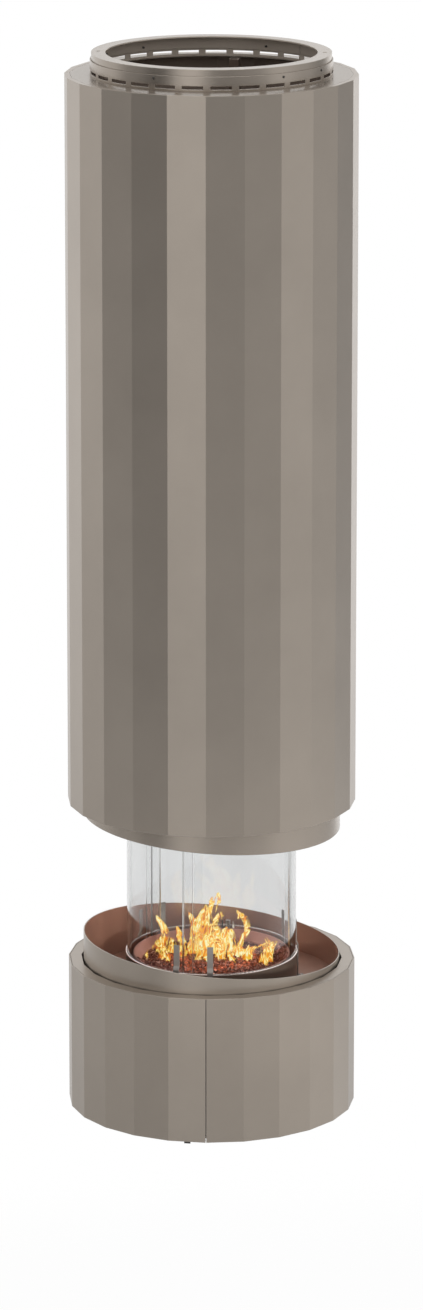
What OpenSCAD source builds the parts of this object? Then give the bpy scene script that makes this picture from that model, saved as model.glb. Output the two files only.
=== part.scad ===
// Hanging gas fireplace: a faceted hood, a glass burning chamber and a faceted lower housing.
// Origin: centre of the ceiling ring's top face. +Z is up, so the fireplace hangs below z = 0.
// The front is -Y. Millimetres.

/* [Shells] */
// Width of the hood and the lower housing across their corners
shell_d = 600; // [590:5:740]
// Number of flat sides round each shell
shell_sides = 24; // [16:8:32]
// Sheet thickness of the shells
shell_t = 2; // [1.2:0.1:3]
// Height of the hood shell
hood_h = 1526.5; // [900:0.5:2200]
// Open height between the hood shell and the lower housing
view_h = 345; // [300:1:460]
// Height of the lower housing
base_h = 308; // [270:1:420]
// Width of the folded rim at the top of the hood shell
hood_rim_w = 10; // [6:1:20]

/* [Ceiling collar] */
// Height from the top plate of the hood to the ceiling
collar_h = 44.6; // [38:0.1:80]
// Outer diameter of the ceiling ring
ceiling_ring_d = 490; // [460:1:500]
// Width of the ceiling ring's flat flange
ceiling_flange_w = 29; // [24:1:45]
// Height of the slotted vent ring
vent_h = 31; // [26:0.5:36]
// Sheet thickness of the vent ring
vent_t = 2; // [1.6:0.1:4]
// Number of vent slots
vent_slots = 27; // [18:1:32]
// Length of a vent slot
vent_slot_l = 43; // [20:1:44]
// Height of a vent slot
vent_slot_h = 6.8; // [4:0.1:8]
// Distance between the two ceiling bolts
ceiling_bolt_span = 461; // [450:0.5:470]
// Diameter of a ceiling bolt hole
ceiling_bolt_d = 9; // [6:0.5:11]

/* [Skirt and bowl] */
// Outer diameter of the round skirt and of the bowl ring
ring_d = 536.6; // [500:0.2:550]
// Sheet thickness of the skirt and the bowl ring
ring_t = 2; // [1.5:0.1:3]
// Depth of the skirt below the hood, at its axis
skirt_drop = 41; // [30:0.5:60]
// Slant of the skirt's lower edge in degrees
skirt_slant = 3.9; // [0:0.1:5]
// Height of the bowl's rim above the lower housing, at its axis
rim_rise = 34.4; // [30:0.2:50]
// Slant of the bowl's rim in degrees
rim_slant = 5.4; // [0:0.1:6]
// Depth of the bowl floor below the top of the lower housing
bowl_depth = 49; // [44:1:70]
// Clearance between the bowl ring and the ledge round it
ledge_gap = 2.5; // [1:0.5:5]

/* [Glass] */
// Outer diameter of the glass cylinder
glass_d = 354; // [340:1:370]
// Thickness of the glass panes
glass_t = 4; // [3:0.5:5]
// Half the gap between two panes, in degrees
pane_gap = 0.5; // [0.4:0.1:1]
// Half the width of a joint strip, in degrees
strip_half = 6.4; // [4:0.2:6.6]
// How far a pane lifts out of its seat
pane_lift = 28; // [15:1:32]
// Diameter of a tie rod
rod_d = 3; // [2.5:0.5:5]
// Outer diameter of the gas supply tube
supply_d = 8; // [6:0.5:8]
// Width of a pane clip
clip_w = 12.7; // [8:0.1:16]
// Height of a pane clip above the tray rim
clip_rise = 58; // [30:1:70]

/* [Burner] */
// Height of the tray rim above the top of the lower housing
tray_rise = 16; // [8:1:24]
// Depth of the lava bed's edge below the tray rim
lava_drop = 21; // [16:1:26]
// Rise of the lava bed at its middle
lava_crown = 5; // [2:1:8]
// Radius of the burner's tube ring
burner_r = 90; // [60:1:110]

/* [Doors] */
// Gap of the front seam between the two doors
seam_gap = 1.5; // [1:0.1:3]
// Width of the doors' folded rims
door_rim_w = 12; // [8:1:14]
// Diameter of a hinge pin
hinge_pin_d = 6; // [4:0.5:8]
// Length of one hinge knuckle
knuckle_h = 24; // [16:1:40]

/* [Hidden] */
$fn = 96;
eps = 0.5;              // how far a cutter reaches past a face
run = 0.05;             // radial running clearance of a pin in its bore
touch_gap = 0.3;        // clearance between a moving piece and its seat
fold_gap = 0.5;         // clearance between two sheets that butt
step = 360 / shell_sides;
flat = cos(step / 2);   // apothem of a shell, as a share of its corner radius
shell_r = shell_d / 2;
ring_r = ring_d / 2;
glass_r = glass_d / 2;

// Levels, from the ceiling down
z_hood = -collar_h;
z_hood_end = z_hood - hood_h;
z_ledge = z_hood_end - view_h;
z_base = z_ledge - base_h;
z_bowl = z_ledge - bowl_depth;
z_tray = z_ledge + tray_rise;

// Ceiling collar
ceiling_r = ceiling_ring_d / 2;
ceiling_t = 2;
ceiling_flange_t = 3;
collar_fit = 0.7;                   // clearance between the two rings
vent_in = ceiling_r + collar_fit;
vent_out = vent_in + vent_t;
vent_sill = 4.6;                    // foot of the slots above the top plate
z_vent = z_hood + vent_h;
ceiling_drop = collar_h - vent_sill - vent_slot_h - 5;
z_collar_screws = -(collar_h - vent_h + ceiling_drop) / 2;
collar_screw_at = [-115.6, -52.2, -24.5, 64.4, 127.8, 155.5];
collar_screw_r = 2;
collar_screw_head = [2.6, 1.4];
collar_seam = [43.6, 1.4, 18];      // rolled ring's butt seam: direction, gap and length

// Hood
plate_t = 2;
underside_rise = 12;                // underside plate above the shell's lower edge
z_underside = z_hood_end + underside_rise;
strap_t = 3;
strap_half = 5;                     // half the width of a seam strap, in degrees
post_w = 20;
post_wall = 2;
joint_at = [-100.2, 19.8, 139.8];   // glass joints: front, right, back left
support_turn = 60;                  // the posts stand half way between the joints
skirt_low_at = -10;                 // direction of the skirt's lowest point
rim_low_at = 8;                     // direction of the bowl rim's lowest point

// Top ring of the glass
channel_wall = 2;
channel_web = 3;
pane_entry = 10;                    // overlap of a pane with the top ring
lift_room = 2;                      // left above a lifted pane
channel_depth = pane_entry + pane_lift + lift_room + channel_web;
channel_lip = 7;                    // outer wall below the hood shell's lower edge
z_channel = z_hood_end - channel_lip;
z_channel_top = z_channel + channel_depth;
channel_out = glass_r + 4;
channel_in = glass_r - 18;
hood_post_r = (channel_out + ring_r) / 2;

// Flue
exhaust_r = 65;
air_r = 100;
flue_t = 1.5;
flue_top_drop = 120;                // top of the exhaust spigot below the ceiling
air_step = 20;                      // top of the air pipe below the exhaust spigot
cone_h = 110;
exhaust_mouth_r = 140;
z_flue = -flue_top_drop;
z_cone = z_channel_top + cone_h;

// Glass seat
channel_floor = 15;                 // seat above the bowl floor
z_seat = z_bowl + channel_floor;
gasket_t = 4;
z_pane = z_seat + gasket_t;
z_pane_top = z_channel + pane_entry;
strip_t = 2.5;
strip_out = glass_r - glass_t - 0.5;
rod_r = strip_out - rod_d / 2;
rod_turn = -strip_half - 1.2;
rod_end = 12;                       // free end of a tie rod past its plate
supply_r = strip_out - 0.1 - supply_d / 2;
supply_turn = -strip_half - 1.8;
clip_turn = 11.5;
clip_t = 2;
clip_foot = 14;                     // length of a clip's foot on the bowl floor
clip_screw_at = [8.5, 1.6, 3.2];    // place along the foot, radius of the hole and of the head

// Burner
tray_out = glass_r + 3;
tray_t = 2;
tray_bead = 1.8;
clip_foot_r = tray_out - tray_t / 2 + tray_bead + 0.2;
pan_r = glass_r - 13;
pan_t = 1.5;
pan_drop = 4;                       // pan rim below the tray rim
pan_slope_w = 18;
lava_r = pan_r - pan_slope_w;
z_lava = z_tray - lava_drop;
lava_t = 8;
grate_t = 1;
z_grate = z_lava - lava_t - grate_t;
burner_tube_d = 12;
z_burner = z_grate - burner_tube_d / 2;
z_pan = z_burner - burner_tube_d / 2;
burner_ports = 36;
pilot_at = 80.2;
pilot_size = [8, 9, 20];

// Lower housing
base_post_d = 16;
post_base_r = ring_r - ring_t - 51.3;
floor_rise = 8;                     // base floor above the doors' lower edge
z_floor = z_base + floor_rise + plate_t;
ledge_bar_t = 4;
ledge_bar_r = ring_r + 6;
ledge_bar_w = 20;
ledge_bar_at = [-30, 30, 150, 210];
seam_bar_w = 36;

// Hinges
hinge_out = hinge_pin_d / 2 + 3;
hinge_y = shell_r + hinge_out + 1;
back_gap = 3;                       // half the gap between the doors at the hinges
hinge_inset = 50;
leaf = [30, 2];
knuckle_gap = 0.4;
catch_size = [14, 10];              // magnet width and height
catch_from_seam = 14;
strike_t = 1.5;
pull = [13, 12, 4];

// Gas train
supply_top_drop = 75;               // top of the supply tube below the ceiling
inlet_end = 40;                     // free end of the supply tube above its collar
inlet_collar = [2.5, 5];            // rise and height of that collar
supply_at = joint_at[1] + supply_turn;
supply_xy = supply_r * [cos(supply_at), sin(supply_at)];
iso = [26, 26, 36];
z_iso = z_bowl - 70;
iso_axis_z = z_iso - iso[2] / 2;
spindle_r = 3;
valve = [120, 70, 50];
valve_y = -burner_r;
z_valve = z_base + 150;
pipe_r = 4;
knob_r = 16;
knob_l = 18;
receiver = [130, 80, 32];
receiver_xy = [-85, 95];
bracket_inset = 10;

// ---------------------------------------------------------------- shared shapes

// Corners of a shell-shaped polygon, the first one at the front
function corners(r) = [for (i = [0 : shell_sides - 1]) r * [cos(step * i - 90), sin(step * i - 90)]];

function polar(r, a) = [r * cos(a), r * sin(a), 0];

// Prism with the outline of the shells
module prism(r, h) linear_extrude(h) polygon(corners(r));

// Round tube standing on z = 0
module tube(r_out, r_in, h) {
    difference() {
        cylinder(r = r_out, h = h);
        translate([0, 0, -eps]) cylinder(r = r_in, h = h + 2 * eps);
    }
}

// Part of a round wall, between two angles
module arc_wall(r_out, r_in, h, from, to) {
    rotate([0, 0, from]) rotate_extrude(angle = to - from) translate([r_in, 0]) square([r_out - r_in, h]);
}

// Everything below a plane that leans down towards the given direction
module below_plane(z, slant, low_at) {
    size = 2 * shell_d;
    translate([0, 0, z]) rotate([0, 0, low_at]) rotate([0, slant, 0])
        translate([-size / 2, -size / 2, -size]) cube(size);
}

// Half space on one side of the plane x = offset, turned by an angle
module half_space(turn, offset, h_low, h_high) {
    size = 2 * shell_d;
    rotate([0, 0, turn]) translate([offset, -size / 2, h_low]) cube([size, size, h_high - h_low]);
}

// Shell of the hood: a folded rim at each end, the lower one with a round opening for the skirt
module hood_shell() {
    translate([0, 0, z_hood_end]) difference() {
        prism(shell_r, hood_h);
        translate([0, 0, shell_t]) prism(shell_r - shell_t / flat, hood_h - 2 * shell_t);
        translate([0, 0, hood_h - 2 * shell_t]) prism(shell_r - hood_rim_w / flat, 4 * shell_t);
        translate([0, 0, -shell_t]) cylinder(r = ring_r + fold_gap, h = 4 * shell_t);
    }
}

// Places its children on the inner face of the door facet next to the front seam
module on_seam_facet(side) {
    rotate([0, 0, side * step / 2]) translate([0, -(shell_r * flat - shell_t), 0]) children();
}

// Pipe run through orthogonal points, with round corners
module pipe_run(points, r) {
    for (i = [0 : len(points) - 2]) {
        d = points[i + 1] - points[i];
        translate(points[i])
            rotate([0, d[2] == 0 ? 90 : d[2] < 0 ? 180 : 0, d[2] == 0 ? atan2(d[1], d[0]) : 0])
            cylinder(r = r, h = norm(d), $fn = 32);
    }
    for (i = [1 : len(points) - 2]) translate(points[i]) sphere(r = r, $fn = 32);
}

// ---------------------------------------------------------------- ceiling collar

module ceiling_ring() color([0.55, 0.52, 0.48]) {
    difference() {
        union() {
            translate([0, 0, -ceiling_drop - 1]) tube(ceiling_r, ceiling_r - ceiling_t, ceiling_drop + 1);
            translate([0, 0, -ceiling_flange_t])
                tube(ceiling_r, ceiling_r - ceiling_flange_w, ceiling_flange_t);
        }
        for (side = [-1, 1]) translate([side * ceiling_bolt_span / 2, 0, -ceiling_flange_t - eps])
            cylinder(d = ceiling_bolt_d, h = ceiling_flange_t + 2 * eps, $fn = 32);
        collar_screw_holes();
        rotate([0, 0, collar_seam[0]])
            translate([ceiling_r - 2 * ceiling_t, -collar_seam[1] / 2, -ceiling_drop - 1 - eps])
            cube([3 * ceiling_t, collar_seam[1], collar_seam[2] + eps]);
    }
}

module collar_screw_holes() {
    for (a = collar_screw_at) rotate([0, 0, a]) translate([ceiling_r - 2 * ceiling_t, 0, z_collar_screws])
        rotate([0, 90, 0]) cylinder(r = collar_screw_r + 0.1, h = 20, $fn = 24);
}

module vent_ring() color([0.55, 0.52, 0.48]) {
    difference() {
        translate([0, 0, z_hood]) tube(vent_out, vent_in, vent_h);
        for (i = [0 : vent_slots - 1]) rotate([0, 0, 360 * (i + 0.5) / vent_slots - 90])
            translate([vent_in - vent_t - 2, -vent_slot_l / 2, z_hood + vent_sill])
            cube([3 * vent_t + 4, vent_slot_l, vent_slot_h]);
        collar_screw_holes();
    }
}

module vent_ring_screws() color([0.35, 0.33, 0.31]) {
    for (a = collar_screw_at) rotate([0, 0, a]) translate([0, 0, z_collar_screws]) rotate([0, 90, 0]) {
        translate([0, 0, vent_out]) cylinder(r = collar_screw_head[0], h = collar_screw_head[1], $fn = 24);
        translate([0, 0, ceiling_r - 3 * ceiling_t])
            cylinder(r = collar_screw_r, h = vent_out - ceiling_r + 3 * ceiling_t, $fn = 24);
    }
}

// ---------------------------------------------------------------- hood

module hood_top_plate() color([0.58, 0.55, 0.51]) {
    translate([0, 0, z_hood - plate_t]) difference() {
        prism(shell_r - (hood_rim_w + fold_gap) / flat, plate_t);
        translate([0, 0, -eps]) cylinder(r = ceiling_r - ceiling_t, h = plate_t + 2 * eps);
    }
}

module hood_shell_half(turn) {
    intersection() {
        hood_shell();
        half_space(turn, fold_gap / 2, z_hood_end - eps, z_hood + eps);
    }
}

module hood_shell_front() color([0.60, 0.57, 0.53]) hood_shell_half(-90);

module hood_shell_back() color([0.60, 0.57, 0.53]) hood_shell_half(90);

// Folded straps that join the two shell halves from the inside
module hood_joint_straps() color([0.45, 0.44, 0.42]) {
    outer = shell_r - shell_t / flat;
    strap_h = hood_h - 2 * shell_t - 2 * plate_t;
    for (a = [0, 180]) intersection() {
        translate([0, 0, z_hood_end + shell_t]) difference() {
            prism(outer, strap_h);
            translate([0, 0, -eps]) prism(outer - strap_t / flat, strap_h + 2 * eps);
        }
        arc_block(a - strap_half, a + strap_half);
    }
}

// Wedge between two angles, over the hood's height
module arc_block(from, to) {
    reach = shell_d;
    translate([0, 0, z_hood_end]) linear_extrude(hood_h)
        polygon([[0, 0], reach * [cos(from), sin(from)], reach * [cos(to), sin(to)]]);
}

module hood_posts() color([0.45, 0.44, 0.42]) {
    z_foot = z_underside + plate_t;
    post_h = z_hood - plate_t - z_foot;
    for (a = joint_at) translate(polar(hood_post_r, a + support_turn) + [0, 0, z_foot])
        rotate([0, 0, a + support_turn]) difference() {
            translate([-post_w / 2, -post_w / 2, 0]) cube([post_w, post_w, post_h]);
            translate([-post_w / 2 + post_wall, -post_w / 2 + post_wall, -eps])
                cube([post_w - 2 * post_wall, post_w - 2 * post_wall, post_h + 2 * eps]);
        }
}

// Plate that closes the hood between the glass and the skirt, with radial air slots
module hood_underside() color([0.42, 0.38, 0.35]) {
    slots = 24;
    slot_l = 0.4 * (ring_r - ring_t - channel_out);
    slot_w = 7;
    translate([0, 0, z_underside]) difference() {
        tube(ring_r - ring_t, channel_out, plate_t);
        for (i = [0 : slots - 1]) rotate([0, 0, 360 * (i + 0.5) / slots])
            translate([channel_out + 8, -slot_w / 2, -eps]) cube([slot_l, slot_w, plate_t + 2 * eps]);
    }
}

module hood_skirt() color([0.60, 0.57, 0.53]) {
    reach = ring_r * tan(skirt_slant) + 5;
    top = underside_rise + plate_t + 4;
    difference() {
        translate([0, 0, z_hood_end - skirt_drop - reach])
            tube(ring_r, ring_r - ring_t, skirt_drop + reach + top);
        below_plane(z_hood_end - skirt_drop, skirt_slant, skirt_low_at);
    }
}

// ---------------------------------------------------------------- flue

module flue_exhaust_pipe() color([0.70, 0.70, 0.70])
    translate([0, 0, z_cone]) tube(exhaust_r, exhaust_r - flue_t, z_flue - z_cone);

module flue_air_pipe() color([0.62, 0.62, 0.62])
    translate([0, 0, z_cone]) tube(air_r, air_r - flue_t, z_flue - z_cone - air_step);

// Conical sheet that widens downwards
module cone_sheet(r_low, r_high, h) {
    rotate_extrude() polygon([
        [r_low - flue_t, 0], [r_low, 0], [r_high, h], [r_high - flue_t, h]
    ]);
}

module exhaust_cone() color([0.66, 0.66, 0.66])
    translate([0, 0, z_channel_top]) cone_sheet(exhaust_mouth_r, exhaust_r, cone_h);

module air_cone() color([0.60, 0.60, 0.60])
    translate([0, 0, z_channel_top]) cone_sheet(channel_in + flue_t, air_r, cone_h);

module flue_spacers() color([0.5, 0.5, 0.5]) {
    fin_t = 2;
    fin_h = 30;
    for (z = [z_cone + 10, z_flue - 80]) for (a = joint_at) rotate([0, 0, a])
        translate([0, 0, z]) intersection() {
            translate([0, -fin_t / 2, 0]) cube([air_r, fin_t, fin_h]);
            tube(air_r - flue_t - 0.2, exhaust_r + 0.2, fin_h);
        }
}

// ---------------------------------------------------------------- glass and what holds it

module glass_top_ring() color([0.40, 0.38, 0.36]) {
    difference() {
        rotate_extrude() polygon([
            [channel_in, z_channel_top - 20], [channel_in + channel_wall, z_channel_top - 20],
            [channel_in + channel_wall, z_channel_top - channel_web],
            [channel_out - channel_wall, z_channel_top - channel_web],
            [channel_out - channel_wall, z_channel], [channel_out, z_channel],
            [channel_out, z_channel_top], [channel_in, z_channel_top]
        ]);
        hanger_holes(z_channel_top);
    }
}

// Holes for the two tie rods and the supply tube at a level
module hanger_holes(z) {
    for (i = [0, 2]) translate(polar(rod_r, joint_at[i] + rod_turn) + [0, 0, z - 20])
        cylinder(r = rod_d / 2 + 0.1, h = 40, $fn = 32);
    translate([supply_xy[0], supply_xy[1], z - 20]) cylinder(r = supply_d / 2 + 0.1, h = 40, $fn = 32);
}

module tie_rods() color([0.75, 0.75, 0.74]) {
    z_low = z_bowl - plate_t - rod_end;
    for (i = [0, 2]) translate(polar(rod_r, joint_at[i] + rod_turn) + [0, 0, z_low])
        cylinder(d = rod_d, h = z_channel_top + rod_end - z_low, $fn = 32);
}

module hex_nut(r_corner, r_bore, h) {
    difference() {
        cylinder(r = r_corner, h = h, $fn = 6);
        translate([0, 0, -eps]) cylinder(r = r_bore, h = h + 2 * eps, $fn = 32);
    }
}

module tie_rod_nuts() color([0.72, 0.70, 0.64]) {
    nut_h = 5;
    for (z = [z_channel_top, z_bowl - plate_t - nut_h]) {
        for (i = [0, 2]) translate(polar(rod_r, joint_at[i] + rod_turn) + [0, 0, z])
            hex_nut(rod_d / 2 + 2.6, rod_d / 2 + 0.1, nut_h);
        translate([supply_xy[0], supply_xy[1], z]) hex_nut(supply_d / 2 + 3, supply_d / 2 + 0.1, nut_h);
    }
}

// Gas supply tube, which also carries the unit; a collar stops the fitting on its free upper end
module supply_tube() color([0.72, 0.72, 0.70]) translate([supply_xy[0], supply_xy[1], 0]) {
    bore_r = supply_d / 2 - 1;
    translate([0, 0, z_iso]) tube(supply_d / 2, bore_r, -supply_top_drop - z_iso);
    translate([0, 0, -supply_top_drop - inlet_end - inlet_collar[1]])
        tube(supply_d / 2 + inlet_collar[0], bore_r, inlet_collar[1]);
}

// Pane from one joint to the next one
module pane(i) {
    from = joint_at[i] + pane_gap;
    translate([0, 0, z_pane])
        arc_wall(glass_r, glass_r - glass_t, z_pane_top - z_pane, from, from + 120 - 2 * pane_gap);
}

module pane_right() color([0.80, 0.86, 0.86, 0.35]) pane(0);

module pane_back() color([0.80, 0.86, 0.86, 0.35]) pane(1);

module pane_left() color([0.80, 0.86, 0.86, 0.35]) pane(2);

module joint_strips() color([0.80, 0.84, 0.84, 0.45]) {
    strip_h = z_channel_top - channel_web - 2 - z_seat;
    for (a = joint_at) translate([0, 0, z_seat])
        arc_wall(strip_out, strip_out - strip_t, strip_h, a - strip_half, a + strip_half);
}

module pane_gasket() color([0.25, 0.24, 0.23])
    translate([0, 0, z_seat]) tube(tray_out - tray_t - 0.4, glass_r - glass_t - 0.1, gasket_t);

// Flat clip that rises outside the tray and cranks in towards the glass
module clip() {
    foot = clip_foot_r;
    end = foot + clip_foot;
    hold = glass_r + touch_gap;
    top = z_tray + clip_rise;
    crank = 8;
    translate([0, clip_w / 2, 0]) rotate([90, 0, 0]) linear_extrude(clip_w) polygon([
        [end, z_bowl], [foot, z_bowl], [foot, z_tray + 4], [hold, z_tray + 4 + crank], [hold, top],
        [hold + clip_t, top], [hold + clip_t, z_tray + 5 + crank], [foot + clip_t, z_tray + 5],
        [foot + clip_t, z_bowl + clip_t], [end, z_bowl + clip_t]
    ]);
}

// Places its children over the screw of each clip, on the bowl floor
module at_clip_screws() {
    for (a = joint_at) for (side = [-1, 1]) rotate([0, 0, a + side * clip_turn])
        translate([clip_foot_r + clip_screw_at[0], 0, z_bowl]) children();
}

module pane_clips() color([0.62, 0.60, 0.58]) difference() {
    for (a = joint_at) for (side = [-1, 1]) rotate([0, 0, a + side * clip_turn]) clip();
    at_clip_screws() translate([0, 0, -eps]) cylinder(r = clip_screw_at[1], h = clip_t + 2 * eps, $fn = 24);
}

// Pan-head screws that hold the clips down to the bowl floor
module clip_screws() color([0.66, 0.65, 0.63]) at_clip_screws() {
    translate([0, 0, clip_t]) cylinder(r = clip_screw_at[2], h = 1.8, $fn = 32);
    translate([0, 0, -plate_t - 4]) cylinder(r = clip_screw_at[1] - 0.1, h = clip_t + plate_t + 4, $fn = 24);
}

// ---------------------------------------------------------------- burner

// Round tray with a rolled rim; the ledge inside it carries the glass and the pan
module burner_tray() color([0.42, 0.34, 0.29]) {
    difference() {
        union() {
            translate([0, 0, z_bowl]) tube(tray_out, tray_out - tray_t, z_tray - tray_bead - z_bowl);
            rotate_extrude() translate([tray_out - tray_t / 2, z_tray - tray_bead])
                circle(r = tray_bead, $fn = 24);
            translate([0, 0, z_seat - tray_t]) tube(tray_out - eps, pan_r - 5, tray_t);
        }
        hanger_holes(z_seat);
    }
}

module burner_pan() color([0.66, 0.36, 0.29]) {
    z_rim = z_tray - pan_drop;
    z_slope = z_lava;
    difference() {
        rotate_extrude() polygon([
            [pan_r - pan_t, z_seat], [pan_r, z_seat], [pan_r, z_rim], [pan_r - pan_t, z_rim],
            [lava_r, z_slope], [lava_r, z_pan], [0, z_pan], [0, z_pan - pan_t],
            [lava_r + pan_t, z_pan - pan_t], [lava_r + pan_t, z_slope], [pan_r - pan_t, z_rim - 2.5]
        ]);
        translate([0, -burner_r, z_pan - pan_t - eps]) cylinder(r = 8.2, h = pan_t + 2 * eps, $fn = 48);
    }
}

module burner_ring() color([0.60, 0.60, 0.58]) {
    port_r = 1.5;
    difference() {
        translate([0, 0, z_burner]) rotate_extrude() translate([burner_r, 0]) difference() {
            circle(d = burner_tube_d, $fn = 32);
            circle(d = burner_tube_d - 2, $fn = 32);
        }
        for (i = [0 : burner_ports - 1]) rotate([0, 0, 360 * i / burner_ports])
            translate([burner_r, 0, z_burner]) cylinder(r = port_r, h = burner_tube_d, $fn = 16);
    }
}

module lava_grate() color([0.35, 0.33, 0.32]) {
    translate([0, 0, z_grate]) difference() {
        cylinder(r = lava_r - fold_gap, h = grate_t);
        for (ring = [1 : floor((lava_r - 10) / 30)]) for (i = [0 : 6 * ring - 1])
            rotate([0, 0, 60 * i / ring]) translate([30 * ring, 0, -eps])
            cylinder(r = 4, h = grate_t + 2 * eps, $fn = 16);
    }
}

// Bed of small lava stones, as one crowned layer on the grate
module lava_bed() color([0.42, 0.13, 0.10]) {
    r = lava_r - fold_gap;
    rotate_extrude() polygon(concat(
        [[0, z_lava - lava_t], [r, z_lava - lava_t]],
        [for (i = [0 : 8]) [r * cos(90 * i / 8), z_lava + lava_crown * sin(90 * i / 8)]]
    ));
}

module injector() color([0.78, 0.62, 0.32])
    translate([0, -burner_r, z_bowl + 4]) cylinder(r = 8, h = z_pan - z_bowl - 4, $fn = 48);

// Pilot hood on the back rim of the tray, between the pan and the glass
module pilot_hood() color([0.50, 0.48, 0.46]) {
    rotate([0, 0, pilot_at]) translate([pan_r + 0.4, -pilot_size[1] / 2, z_tray - 8]) difference() {
        cube(pilot_size);
        translate([-eps, 2, 8]) cube([pilot_size[0] - 1.5, pilot_size[1] - 4, 9]);
    }
    rotate([0, 0, pilot_at]) translate([pan_r + 4, 0, z_seat])
        cylinder(r = 3, h = z_tray - 8 - z_seat, $fn = 24);
}

module ignition_electrode() color([0.92, 0.90, 0.86]) {
    rotate([0, 0, pilot_at - 4]) translate([pan_r + 4, 0, z_seat]) {
        cylinder(r = 2.5, h = z_tray - z_seat + 2, $fn = 24);
        translate([0, 0, z_tray - z_seat + 2]) cylinder(r = 0.8, h = 8, $fn = 16);
    }
}

module flame_sensor() color([0.55, 0.53, 0.50]) {
    rotate([0, 0, pilot_at + 4]) translate([pan_r + 4, 0, z_seat]) {
        cylinder(r = 2, h = z_tray - z_seat - 2, $fn = 24);
        translate([0, 0, z_tray - z_seat - 2]) cylinder(r = 1.2, h = 14, $fn = 16);
    }
}

// ---------------------------------------------------------------- bowl and lower housing

module bowl_ring() color([0.62, 0.45, 0.36]) {
    reach = ring_r * tan(rim_slant) + 5;
    difference() {
        translate([0, 0, z_bowl - plate_t - 6])
            tube(ring_r, ring_r - ring_t, z_ledge + rim_rise + reach - z_bowl + plate_t + 6);
        translate([0, 0, 2 * (z_ledge + rim_rise)]) mirror([0, 0, 1])
            below_plane(z_ledge + rim_rise, -rim_slant, rim_low_at);
    }
}

module bowl_floor() color([0.50, 0.30, 0.23]) {
    difference() {
        translate([0, 0, z_bowl - plate_t]) cylinder(r = ring_r - ring_t, h = plate_t);
        hanger_holes(z_bowl);
        at_clip_screws() translate([0, 0, -plate_t - eps])
            cylinder(r = clip_screw_at[1], h = plate_t + 2 * eps, $fn = 24);
        translate([0, -burner_r, z_bowl - plate_t - eps])
            cylinder(r = pipe_r + 1, h = plate_t + 2 * eps, $fn = 32);
    }
}

module base_ledge() color([0.60, 0.57, 0.53]) {
    translate([0, 0, z_ledge - plate_t]) difference() {
        prism(shell_r - (shell_t + 1) / flat, plate_t);
        translate([0, 0, -eps]) prism((ring_r + ledge_gap) / flat, plate_t + 2 * eps);
    }
}

// Upright flat bar between the base floor and the ledge
module ledge_bar(a, w) {
    rotate([0, 0, a]) translate([ledge_bar_r, -w / 2, z_floor])
        cube([ledge_bar_t, w, z_ledge - plate_t - z_floor]);
}

module ledge_posts() color([0.45, 0.44, 0.42]) {
    for (a = ledge_bar_at) ledge_bar(a, ledge_bar_w);
    for (a = [-90, 90]) ledge_bar(a, seam_bar_w);
}

module base_posts() color([0.45, 0.44, 0.42]) {
    for (a = joint_at) translate(polar(post_base_r, a + support_turn) + [0, 0, z_floor])
        tube(base_post_d / 2, base_post_d / 2 - 2, z_bowl - plate_t - z_floor);
}

module base_floor() color([0.45, 0.43, 0.41]) {
    slots = 12;
    translate([0, 0, z_floor - plate_t]) difference() {
        prism(shell_r - (shell_t + 2) / flat, plate_t);
        for (i = [0 : slots - 1]) rotate([0, 0, 360 * (i + 0.5) / slots])
            translate([140, -4, -eps]) cube([50, 8, plate_t + 2 * eps]);
    }
}

// Half of the lower housing's shell; side is -1 for the left door and 1 for the right one
module door(side) {
    intersection() {
        shell_low_rim();
        difference() {
            half_space(side < 0 ? 180 : 0, seam_gap / 2, z_base - eps, z_ledge + eps);
            translate([-back_gap, 0, z_base - 1]) cube([2 * back_gap, shell_d, base_h + 2]);
        }
    }
}

// Shell of the lower housing: its upper rim lies under the ledge, so that only the wall shows
module shell_low_rim() {
    inner = shell_r - shell_t / flat;
    rim_r = inner - door_rim_w / flat;
    rim_drop = plate_t + 2;
    translate([0, 0, z_base]) difference() {
        prism(shell_r, base_h);
        translate([0, 0, shell_t]) prism(inner, base_h - 2 * shell_t - rim_drop);
        translate([0, 0, base_h - rim_drop]) prism(inner, rim_drop + eps);
        translate([0, 0, -eps]) prism(rim_r, base_h + 2 * eps);
    }
}

module door_left() color([0.60, 0.57, 0.53]) door(-1);

module door_right() color([0.60, 0.57, 0.53]) door(1);

// Lower ends of the two hinge stacks
function hinge_levels() = [z_base + hinge_inset, z_ledge - hinge_inset - 3 * knuckle_h];

// Knuckle n of a stack, counted from below; its children are the plate or leaf that carries it
module knuckle(z, n) {
    h = knuckle_h - knuckle_gap;
    translate([0, 0, z + n * knuckle_h + knuckle_gap / 2]) difference() {
        union() {
            translate([0, hinge_y, 0]) cylinder(r = hinge_out, h = h, $fn = 64);
            linear_extrude(h) children();
        }
        translate([0, hinge_y, -eps]) cylinder(r = hinge_pin_d / 2 + run, h = h + 2 * eps, $fn = 64);
    }
}

// Knuckle of a door, with its leaf on the facet next to the back seam
module door_knuckle(z, n, side) {
    knuckle(z, n) mirror([side < 0 ? 1 : 0, 0]) translate([0, shell_r]) rotate(-step / 2)
        polygon([[1, 0], [leaf[0], 0], [leaf[0], leaf[1]], [9, leaf[1]], [5.2, 5], [1, 5]]);
}

module door_left_hinges() color([0.40, 0.39, 0.37]) for (z = hinge_levels()) door_knuckle(z, 2, -1);

module door_right_hinges() color([0.40, 0.39, 0.37]) for (z = hinge_levels()) door_knuckle(z, 0, 1);

// Middle knuckles, on plates that reach out through the back seam
module frame_hinges() color([0.45, 0.44, 0.42]) {
    web = 3;
    y0 = ledge_bar_r + ledge_bar_t;
    for (z = hinge_levels()) knuckle(z, 1) translate([-web / 2, y0]) square([web, hinge_y - y0 - 4]);
}

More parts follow.
